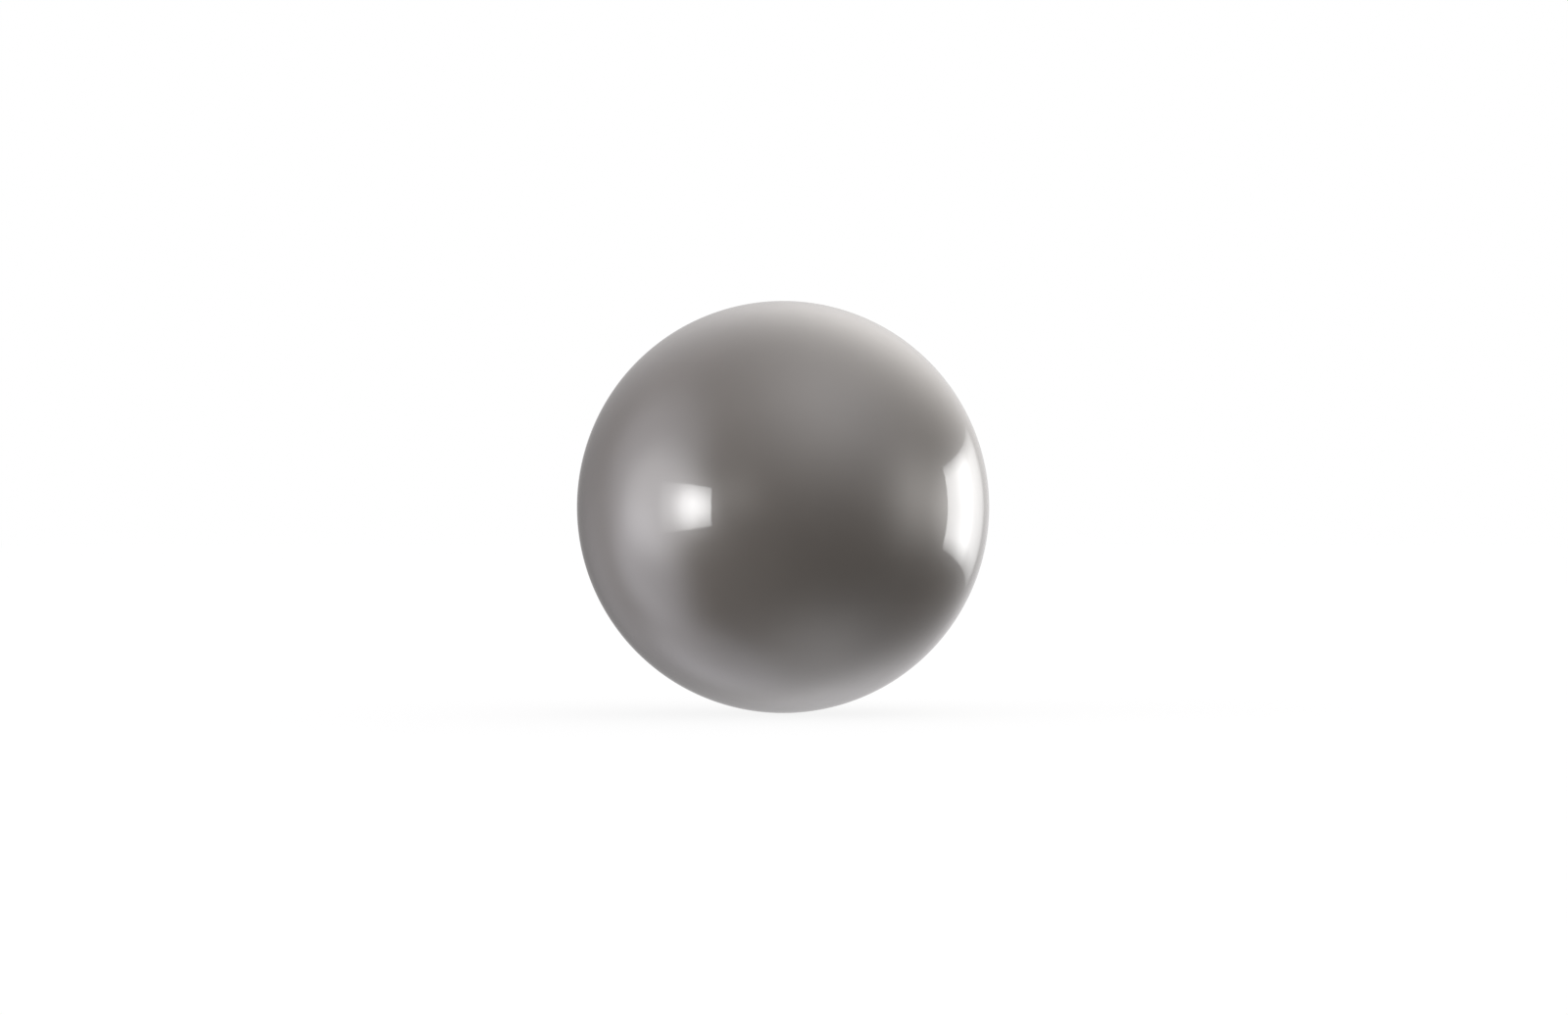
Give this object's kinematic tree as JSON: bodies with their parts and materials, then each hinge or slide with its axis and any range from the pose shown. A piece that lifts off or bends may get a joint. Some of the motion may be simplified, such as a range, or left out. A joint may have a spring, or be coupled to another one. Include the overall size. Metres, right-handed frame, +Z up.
{
  "type": "exercise ball",
  "caption": "Inflatable exercise ball: a hollow glossy vinyl sphere with a moulded-in valve seat and a barbed stopper that pulls out of it.",
  "frame": {"origin": "centre of the ball", "axes": "+Y along the valve's axis, out of the back of the ball; +Z up; the floor is 325.2 mm below the origin"},
  "size_m": [0.6504, 0.6497, 0.6504],
  "materials": {
    "skin_vinyl": "gloss",
    "seat_vinyl": "satin",
    "stopper_plastic": "satin"
  },
  "bodies": {
    "ball": {"ball_skin": "skin_vinyl", "valve_seat": "seat_vinyl"},
    "stopper": {"valve_stopper": "stopper_plastic"}
  },
  "joints": [
    {"name": "stopper_pull", "type": "slide", "parent": "ball", "child": "stopper", "axis": [0, 1, 0], "range_m": [0, 0.05]}
  ]
}
